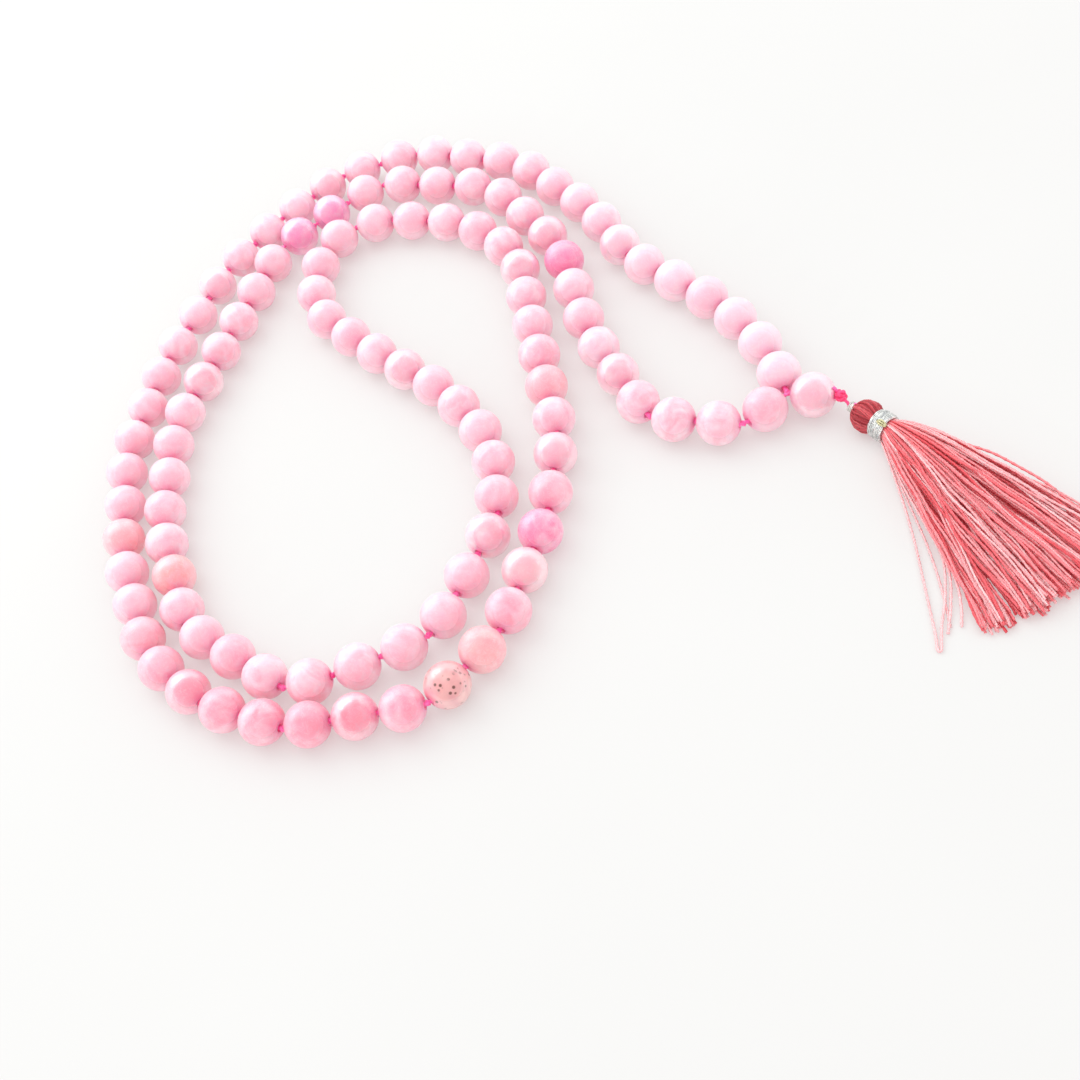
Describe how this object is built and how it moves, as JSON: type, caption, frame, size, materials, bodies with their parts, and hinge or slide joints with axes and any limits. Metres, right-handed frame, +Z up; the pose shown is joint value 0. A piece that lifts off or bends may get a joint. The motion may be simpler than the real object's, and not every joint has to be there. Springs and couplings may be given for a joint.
{
  "type": "mala prayer beads",
  "caption": "Closed strand of small round translucent stone beads knotted on a thin cord, laid in a double loop, with a larger-holed end bead and a silk tassel bound in silver thread.",
  "frame": {"origin": "centre of the laid-out object's footprint, on the surface that the beads lie on", "axes": "+X to the right towards the guru bead and tassel, +Y away from the viewer along the longer side of the footprint, +Z up"},
  "size_m": [0.1634, 0.1712, 0.008],
  "materials": {
    "rose_quartz": "polished translucent rose quartz",
    "guru_quartz": "polished, clearer rose quartz",
    "cord_pink": "twisted nylon thread, matt",
    "coral_silk": "artificial silk thread, soft sheen",
    "silver_thread": "metallised thread, satin"
  },
  "bodies": {
    "strand_middle": {"strand_cord_middle": "cord_pink"},
    "strand_left": {"strand_cord_left": "cord_pink"},
    "strand_guru_end": {"strand_cord_guru_end": "cord_pink"},
    "guru": {"guru_bead": "guru_quartz"},
    "tassel_link": {"end_knot": "cord_pink", "tassel_hanger_link": "cord_pink"},
    "tassel": {"tassel_hanger_cord": "cord_pink", "tassel_inner_knot": "cord_pink", "tassel_collar": "silver_thread", "tassel_head": "coral_silk", "tassel_neck_wrap": "silver_thread", "tassel_bound_threads": "coral_silk"},
    "fringe": {"tassel_fringe": "coral_silk"},
    "bead_001": {"bead_001": "rose_quartz"},
    "beads_002_003": {"beads_002_003": "rose_quartz"},
    "beads_004_006": {"beads_004_006": "rose_quartz"},
    "beads_007_008": {"beads_007_008": "rose_quartz"},
    "beads_009_011": {"beads_009_011": "rose_quartz"},
    "beads_012_014": {"beads_012_014": "rose_quartz"},
    "beads_015_016": {"beads_015_016": "rose_quartz"},
    "beads_017_018": {"beads_017_018": "rose_quartz"},
    "beads_019_020": {"beads_019_020": "rose_quartz"},
    "beads_021_023": {"beads_021_023": "rose_quartz"},
    "beads_024_026": {"beads_024_026": "rose_quartz"},
    "beads_027_029": {"beads_027_029": "rose_quartz"},
    "beads_030_032": {"beads_030_032": "rose_quartz"},
    "beads_033_034": {"beads_033_034": "rose_quartz"},
    "beads_035_036": {"beads_035_036": "rose_quartz"},
    "beads_037_039": {"beads_037_039": "rose_quartz"},
    "beads_040_041": {"beads_040_041": "rose_quartz"},
    "beads_042_044": {"beads_042_044": "rose_quartz"},
    "beads_045_046": {"beads_045_046": "rose_quartz"},
    "beads_047_049": {"beads_047_049": "rose_quartz"},
    "beads_050_052": {"beads_050_052": "rose_quartz"},
    "beads_053_054": {"beads_053_054": "rose_quartz"},
    "beads_055_056": {"beads_055_056": "rose_quartz"},
    "bead_057": {"bead_057": "rose_quartz"},
    "bead_058": {"bead_058": "rose_quartz"},
    "beads_059_060": {"beads_059_060": "rose_quartz"},
    "beads_061_062": {"beads_061_062": "rose_quartz"},
    "beads_063_065": {"beads_063_065": "rose_quartz"},
    "beads_066_067": {"beads_066_067": "rose_quartz"},
    "beads_068_069": {"beads_068_069": "rose_quartz"},
    "beads_070_071": {"beads_070_071": "rose_quartz"},
    "bead_072": {"bead_072": "rose_quartz"},
    "beads_073_074": {"beads_073_074": "rose_quartz"},
    "bead_075": {"bead_075": "rose_quartz"},
    "beads_076_078": {"beads_076_078": "rose_quartz"},
    "beads_079_081": {"beads_079_081": "rose_quartz"},
    "beads_082_084": {"beads_082_084": "rose_quartz"},
    "beads_085_087": {"beads_085_087": "rose_quartz"},
    "beads_088_090": {"beads_088_090": "rose_quartz"},
    "beads_091_092": {"beads_091_092": "rose_quartz"},
    "bead_093": {"bead_093": "rose_quartz"},
    "beads_094_096": {"beads_094_096": "rose_quartz"},
    "beads_097_099": {"beads_097_099": "rose_quartz"},
    "beads_100_102": {"beads_100_102": "rose_quartz"},
    "beads_103_105": {"beads_103_105": "rose_quartz"},
    "beads_106_107": {"beads_106_107": "rose_quartz"},
    "bead_108": {"bead_108": "rose_quartz"}
  },
  "joints": [
    {"name": "fold_guru_end", "type": "hinge", "parent": "strand_middle", "child": "strand_guru_end", "pos_m": [0.02431, 0.02346, 0.004], "axis": [-0.3542, -0.9352, 0], "range_deg": [0, 40]},
    {"name": "fold_left_side", "type": "hinge", "parent": "strand_middle", "child": "strand_left", "pos_m": [-0.04311, 0.0136, 0.004], "axis": [0.2099, 0.9777, 0], "range_deg": [0, 28]},
    {"name": "tassel_yaw", "type": "hinge", "parent": "strand_guru_end", "child": "tassel_link", "pos_m": [0.05213, -0.03055, 0.004], "axis": [0, 0, 1], "range_deg": [-40, 40]},
    {"name": "tassel_pitch", "type": "hinge", "parent": "tassel_link", "child": "tassel", "pos_m": [0.05279, -0.03217, 0.00297], "axis": [-0.9272, -0.3746, 0], "range_deg": [0, 60]},
    {"name": "fringe_flex", "type": "hinge", "parent": "tassel", "child": "fringe", "pos_m": [0.05711, -0.04288, 0.00297], "axis": [-0.9724, -0.2334, 0], "range_deg": [0, 35]},
    {"name": "guru_turn", "type": "hinge", "parent": "strand_guru_end", "child": "guru", "pos_m": [0.04812, -0.02765, 0.004], "axis": [0.8109, -0.5852, 0], "continuous": true},
    {"name": "turn_bead_001", "type": "hinge", "parent": "strand_guru_end", "child": "bead_001", "pos_m": [0.04503, -0.02008, 0.004], "axis": [0.1653, 0.9862, 0], "continuous": true},
    {"name": "turn_beads_002_003", "type": "hinge", "parent": "strand_guru_end", "child": "beads_002_003", "pos_m": [0.04502, -0.01166, 0.004], "axis": [-0.1744, 0.9847, 0], "continuous": true},
    {"name": "turn_beads_004_006", "type": "hinge", "parent": "strand_guru_end", "child": "beads_004_006", "pos_m": [0.0411, 0.00423, 0.004], "axis": [-0.4286, 0.9035, 0], "continuous": true},
    {"name": "turn_beads_007_008", "type": "hinge", "parent": "strand_guru_end", "child": "beads_007_008", "pos_m": [0.03179, 0.02694, 0.004], "axis": [-0.1175, 0.9931, 0], "continuous": true},
    {"name": "turn_beads_009_011", "type": "hinge", "parent": "strand_middle", "child": "beads_009_011", "pos_m": [0.02888, 0.04329, 0.004], "axis": [-0.3427, 0.9395, 0], "continuous": true},
    {"name": "turn_beads_012_014", "type": "hinge", "parent": "strand_middle", "child": "beads_012_014", "pos_m": [0.0187, 0.06544, 0.004], "axis": [-0.7415, 0.6709, 0], "continuous": true},
    {"name": "turn_beads_015_016", "type": "hinge", "parent": "strand_middle", "child": "beads_015_016", "pos_m": [-0.00098, 0.08011, 0.004], "axis": [-0.9831, 0.183, 0], "continuous": true},
    {"name": "turn_beads_017_018", "type": "hinge", "parent": "strand_middle", "child": "beads_017_018", "pos_m": [-0.0177, 0.08104, 0.004], "axis": [-0.9429, -0.3332, 0], "continuous": true},
    {"name": "turn_beads_019_020", "type": "hinge", "parent": "strand_left", "child": "beads_019_020", "pos_m": [-0.03327, 0.0745, 0.004], "axis": [-0.8455, -0.534, 0], "continuous": true},
    {"name": "turn_beads_021_023", "type": "hinge", "parent": "strand_left", "child": "beads_021_023", "pos_m": [-0.04704, 0.06434, 0.004], "axis": [-0.6583, -0.7528, 0], "continuous": true},
    {"name": "turn_beads_024_026", "type": "hinge", "parent": "strand_left", "child": "beads_024_026", "pos_m": [-0.06325, 0.04449, 0.004], "axis": [-0.4863, -0.8738, 0], "continuous": true},
    {"name": "turn_beads_027_029", "type": "hinge", "parent": "strand_left", "child": "beads_027_029", "pos_m": [-0.0741, 0.02221, 0.004], "axis": [-0.1804, -0.9836, 0], "continuous": true},
    {"name": "turn_beads_030_032", "type": "hinge", "parent": "strand_left", "child": "beads_030_032", "pos_m": [-0.07768, -0.00233, 0.004], "axis": [0.0412, -0.9992, 0], "continuous": true},
    {"name": "turn_beads_033_034", "type": "hinge", "parent": "strand_left", "child": "beads_033_034", "pos_m": [-0.07481, -0.02668, 0.004], "axis": [0.4784, -0.8782, 0], "continuous": true},
    {"name": "turn_beads_035_036", "type": "hinge", "parent": "strand_left", "child": "beads_035_036", "pos_m": [-0.06583, -0.04032, 0.004], "axis": [0.7378, -0.675, 0], "continuous": true},
    {"name": "turn_beads_037_039", "type": "hinge", "parent": "strand_middle", "child": "beads_037_039", "pos_m": [-0.05237, -0.05003, 0.004], "axis": [0.9612, -0.2758, 0], "continuous": true},
    {"name": "turn_beads_040_041", "type": "hinge", "parent": "strand_middle", "child": "beads_040_041", "pos_m": [-0.02849, -0.05375, 0.004], "axis": [0.8891, 0.4578, 0], "continuous": true},
    {"name": "turn_beads_042_044", "type": "hinge", "parent": "strand_middle", "child": "beads_042_044", "pos_m": [-0.01481, -0.04471, 0.004], "axis": [0.6156, 0.7881, 0], "continuous": true},
    {"name": "turn_beads_045_046", "type": "hinge", "parent": "strand_middle", "child": "beads_045_046", "pos_m": [-0.00038, -0.0246, 0.004], "axis": [0.4147, 0.91, 0], "continuous": true},
    {"name": "turn_beads_047_049", "type": "hinge", "parent": "strand_middle", "child": "beads_047_049", "pos_m": [0.00561, -0.00874, 0.004], "axis": [0.1534, 0.9882, 0], "continuous": true},
    {"name": "turn_beads_050_052", "type": "hinge", "parent": "strand_middle", "child": "beads_050_052", "pos_m": [0.00946, 0.01577, 0.004], "axis": [0.1627, 0.9867, 0], "continuous": true},
    {"name": "turn_beads_053_054", "type": "hinge", "parent": "strand_middle", "child": "beads_053_054", "pos_m": [0.01108, 0.04003, 0.004], "axis": [-0.4037, 0.9149, 0], "continuous": true},
    {"name": "turn_beads_055_056", "type": "hinge", "parent": "strand_middle", "child": "beads_055_056", "pos_m": [0.00266, 0.05401, 0.004], "axis": [-0.7971, 0.6039, 0], "continuous": true},
    {"name": "turn_bead_057", "type": "hinge", "parent": "strand_middle", "child": "bead_057", "pos_m": [-0.01108, 0.06297, 0.004], "axis": [-0.9324, 0.3615, 0], "continuous": true},
    {"name": "turn_bead_058", "type": "hinge", "parent": "strand_middle", "child": "bead_058", "pos_m": [-0.01939, 0.06287, 0.004], "axis": [-0.9199, -0.3923, 0], "continuous": true},
    {"name": "turn_beads_059_060", "type": "hinge", "parent": "strand_middle", "child": "beads_059_060", "pos_m": [-0.02504, 0.05688, 0.004], "axis": [-0.3383, -0.9411, 0], "continuous": true},
    {"name": "turn_beads_061_062", "type": "hinge", "parent": "strand_middle", "child": "beads_061_062", "pos_m": [-0.02749, 0.04077, 0.004], "axis": [0.401, -0.9161, 0], "continuous": true},
    {"name": "turn_beads_063_065", "type": "hinge", "parent": "strand_middle", "child": "beads_063_065", "pos_m": [-0.02044, 0.02558, 0.004], "axis": [0.4836, -0.8753, 0], "continuous": true},
    {"name": "turn_beads_066_067", "type": "hinge", "parent": "strand_middle", "child": "beads_066_067", "pos_m": [-0.00953, 0.00357, 0.004], "axis": [0.2337, -0.9723, 0], "continuous": true},
    {"name": "turn_beads_068_069", "type": "hinge", "parent": "strand_middle", "child": "beads_068_069", "pos_m": [-0.00758, -0.01266, 0.004], "axis": [-0.2272, -0.9739, 0], "continuous": true},
    {"name": "turn_beads_070_071", "type": "hinge", "parent": "strand_middle", "child": "beads_070_071", "pos_m": [-0.01341, -0.02799, 0.004], "axis": [-0.6789, -0.7342, 0], "continuous": true},
    {"name": "turn_bead_072", "type": "hinge", "parent": "strand_middle", "child": "bead_072", "pos_m": [-0.02534, -0.04027, 0.004], "axis": [-0.7494, -0.6622, 0], "continuous": true},
    {"name": "turn_beads_073_074", "type": "hinge", "parent": "strand_middle", "child": "beads_073_074", "pos_m": [-0.03326, -0.0432, 0.004], "axis": [-0.9999, 0.0157, 0], "continuous": true},
    {"name": "turn_bead_075", "type": "hinge", "parent": "strand_middle", "child": "bead_075", "pos_m": [-0.05022, -0.04209, 0.004], "axis": [-0.9778, 0.2094, 0], "continuous": true},
    {"name": "turn_beads_076_078", "type": "hinge", "parent": "strand_left", "child": "beads_076_078", "pos_m": [-0.05738, -0.03735, 0.004], "axis": [-0.5606, 0.8281, 0], "continuous": true},
    {"name": "turn_beads_079_081", "type": "hinge", "parent": "strand_left", "child": "beads_079_081", "pos_m": [-0.069, -0.01602, 0.004], "axis": [-0.0165, 0.9999, 0], "continuous": true},
    {"name": "turn_beads_082_084", "type": "hinge", "parent": "strand_left", "child": "beads_082_084", "pos_m": [-0.06824, 0.00853, 0.004], "axis": [0.2671, 0.9637, 0], "continuous": true},
    {"name": "turn_beads_085_087", "type": "hinge", "parent": "strand_left", "child": "beads_085_087", "pos_m": [-0.06017, 0.03155, 0.004], "axis": [0.6202, 0.7844, 0], "continuous": true},
    {"name": "turn_beads_088_090", "type": "hinge", "parent": "strand_left", "child": "beads_088_090", "pos_m": [-0.04484, 0.05089, 0.004], "axis": [0.6254, 0.7803, 0], "continuous": true},
    {"name": "turn_beads_091_092", "type": "hinge", "parent": "strand_middle", "child": "beads_091_092", "pos_m": [-0.02719, 0.06896, 0.004], "axis": [0.947, 0.3213, 0], "continuous": true},
    {"name": "turn_bead_093", "type": "hinge", "parent": "strand_middle", "child": "bead_093", "pos_m": [-0.01067, 0.07358, 0.004], "axis": [0.9941, 0.1083, 0], "continuous": true},
    {"name": "turn_beads_094_096", "type": "hinge", "parent": "strand_middle", "child": "beads_094_096", "pos_m": [-0.00251, 0.07139, 0.004], "axis": [0.7998, -0.6003, 0], "continuous": true},
    {"name": "turn_beads_097_099", "type": "hinge", "parent": "strand_middle", "child": "beads_097_099", "pos_m": [0.01555, 0.05434, 0.004], "axis": [0.2589, -0.9659, 0], "continuous": true},
    {"name": "turn_beads_100_102", "type": "hinge", "parent": "strand_middle", "child": "beads_100_102", "pos_m": [0.02066, 0.02915, 0.004], "axis": [-0.1086, -0.9941, 0], "continuous": true},
    {"name": "turn_beads_103_105", "type": "hinge", "parent": "strand_guru_end", "child": "beads_103_105", "pos_m": [0.01877, 0.00333, 0.004], "axis": [0.1094, -0.994, 0], "continuous": true},
    {"name": "turn_beads_106_107", "type": "hinge", "parent": "strand_guru_end", "child": "beads_106_107", "pos_m": [0.02469, -0.02028, 0.004], "axis": [0.8057, -0.5923, 0], "continuous": true},
    {"name": "turn_bead_108", "type": "hinge", "parent": "strand_guru_end", "child": "bead_108", "pos_m": [0.03964, -0.02637, 0.004], "axis": [0.9488, 0.3158, 0], "continuous": true}
  ]
}
